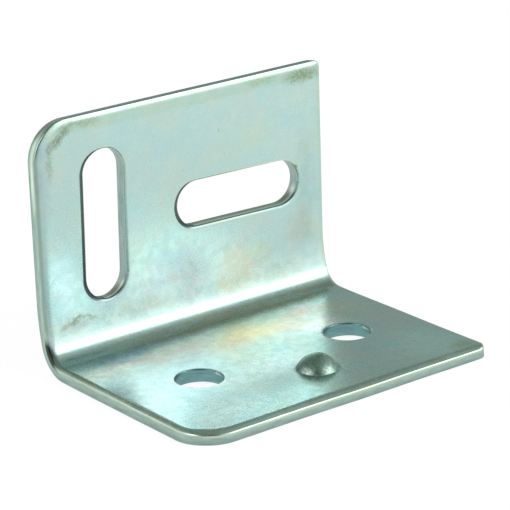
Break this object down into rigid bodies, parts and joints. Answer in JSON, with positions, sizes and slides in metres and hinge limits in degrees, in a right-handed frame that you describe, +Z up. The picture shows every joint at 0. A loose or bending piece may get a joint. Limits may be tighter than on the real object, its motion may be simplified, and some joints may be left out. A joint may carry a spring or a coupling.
{
  "type": "stretcher plate",
  "caption": "Folded steel angle plate with a slotted upright and a base with screw holes, for fixing a table or cabinet top to its rails while the timber can still move.",
  "frame": {"origin": "middle of the footprint, on the underside of the base", "axes": "+X along the fold, with the well rounded corners at the -X end; +Y towards the back of the upright; +Z up the upright"},
  "size_m": [0.038, 0.029, 0.0275],
  "materials": {
    "zinc_plated_steel": "bright zinc plate with a pale blue-green passivated sheen, satin"
  },
  "bodies": {
    "root": {"stretcher_plate": "zinc_plated_steel"}
  },
  "joints": []
}
